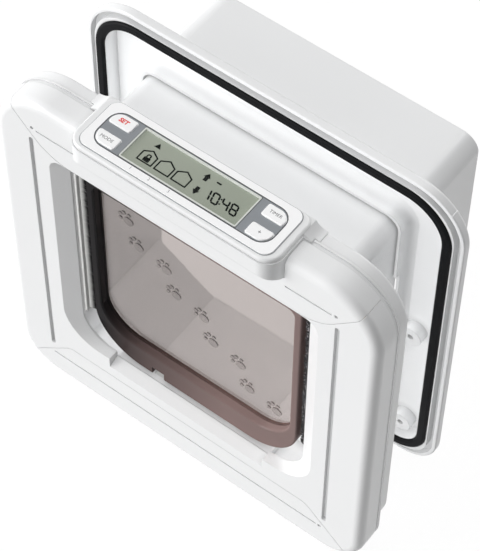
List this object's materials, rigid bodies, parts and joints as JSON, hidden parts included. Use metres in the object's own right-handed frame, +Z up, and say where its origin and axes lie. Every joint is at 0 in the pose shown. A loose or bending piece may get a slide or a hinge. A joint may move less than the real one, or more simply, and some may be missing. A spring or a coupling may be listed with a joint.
{
  "type": "cat flap",
  "caption": "Locking cat flap for a door: inside frame with control pod and tinted swing flap, telescoping tunnel, outside frame with weather seal and rain hood.",
  "frame": {"origin": "centre line of the flap opening, in the plane of the inside frame's front face", "axes": "+X to the right seen from the room, +Y outwards through the door, +Z up"},
  "size_m": [0.225, 0.14, 0.2384],
  "materials": {
    "white_shell": "smooth, slightly glossy moulded plastic",
    "clear_tint": "clear moulded plastic with a warm grey tint, polished",
    "seal_rubber": "soft matt foam rubber",
    "dark_pile": "dense brush pile on a woven backing",
    "label_white": "printed film, satin",
    "field_grey": "printed film, satin",
    "bezel_light": "smooth",
    "window_clear": "clear, polished",
    "display_face": "grey-green display glass",
    "key_white": "soft satin",
    "board_green": "solder-masked laminate",
    "switch_black": "matt",
    "tray_white": "matt moulded plastic",
    "cell_jacket": "printed sleeve",
    "spring_steel": "bright",
    "magnet_nickel": "nickel plated",
    "coil_copper": "enamelled copper winding",
    "cable_grey": "ribbon cable",
    "solenoid_steel": "zinc plated",
    "bolt_plastic": "hard moulded plastic"
  },
  "bodies": {
    "inside_unit": {"inside_frame": "white_shell", "upper_cover": "white_shell", "lower_cover": "white_shell", "back_shell": "white_shell", "pod_lid": "white_shell", "pile_strip_left": "dark_pile", "pile_strip_right": "dark_pile", "label_plate": "label_white", "panel_field": "field_grey", "display_bezel": "bezel_light", "display_window": "window_clear", "display_cell": "display_face", "circuit_board": "board_green", "key_switch_1": "switch_black", "key_switch_2": "switch_black", "key_switch_3": "switch_black", "key_switch_4": "switch_black", "battery_tray": "tray_white", "cell_1": "cell_jacket", "cell_2": "cell_jacket", "cell_3": "cell_jacket", "cell_4": "cell_jacket", "battery_spring": "spring_steel", "battery_contact": "spring_steel", "hinge_rod": "spring_steel", "shell_screws": "spring_steel", "sill_magnet": "magnet_nickel", "antenna_coil": "coil_copper", "flat_cable": "cable_grey", "solenoid_in": "solenoid_steel", "solenoid_out": "solenoid_steel"},
    "flap_panel": {"flap": "clear_tint", "flap_magnet": "magnet_nickel"},
    "button_set": {"key_set": "key_white"},
    "button_mode": {"key_mode": "key_white"},
    "button_timer": {"key_timer": "key_white"},
    "button_plus": {"key_plus": "key_white"},
    "bolt_in": {"latch_bolt_in": "bolt_plastic"},
    "bolt_out": {"latch_bolt_out": "bolt_plastic"},
    "outside_unit": {"outside_frame": "white_shell", "weather_seal": "seal_rubber"}
  },
  "joints": [
    {"name": "flap_swing", "type": "hinge", "parent": "inside_unit", "child": "flap_panel", "pos_m": [0, 0.012, 0.068], "axis": [1, 0, 0], "range_deg": [-80, 80]},
    {"name": "key_set_press", "type": "slide", "parent": "inside_unit", "child": "button_set", "axis": [0, 0, -1], "range_m": [0, 0.0008], "stiffness_N_per_m": 500, "springref_m": -0.0006},
    {"name": "key_mode_press", "type": "slide", "parent": "inside_unit", "child": "button_mode", "axis": [0, 0, -1], "range_m": [0, 0.0008], "stiffness_N_per_m": 500, "springref_m": -0.0006},
    {"name": "key_timer_press", "type": "slide", "parent": "inside_unit", "child": "button_timer", "axis": [0, 0, -1], "range_m": [0, 0.0008], "stiffness_N_per_m": 500, "springref_m": -0.0006},
    {"name": "key_plus_press", "type": "slide", "parent": "inside_unit", "child": "button_plus", "axis": [0, 0, -1], "range_m": [0, 0.0008], "stiffness_N_per_m": 500, "springref_m": -0.0006},
    {"name": "latch_in_rise", "type": "slide", "parent": "inside_unit", "child": "bolt_in", "axis": [0, 0, 1], "range_m": [0, 0.005]},
    {"name": "latch_out_rise", "type": "slide", "parent": "inside_unit", "child": "bolt_out", "axis": [0, 0, 1], "range_m": [0, 0.005]},
    {"name": "tunnel_telescope", "type": "slide", "parent": "inside_unit", "child": "outside_unit", "axis": [0, -1, 0], "range_m": [0, 0.038]}
  ]
}
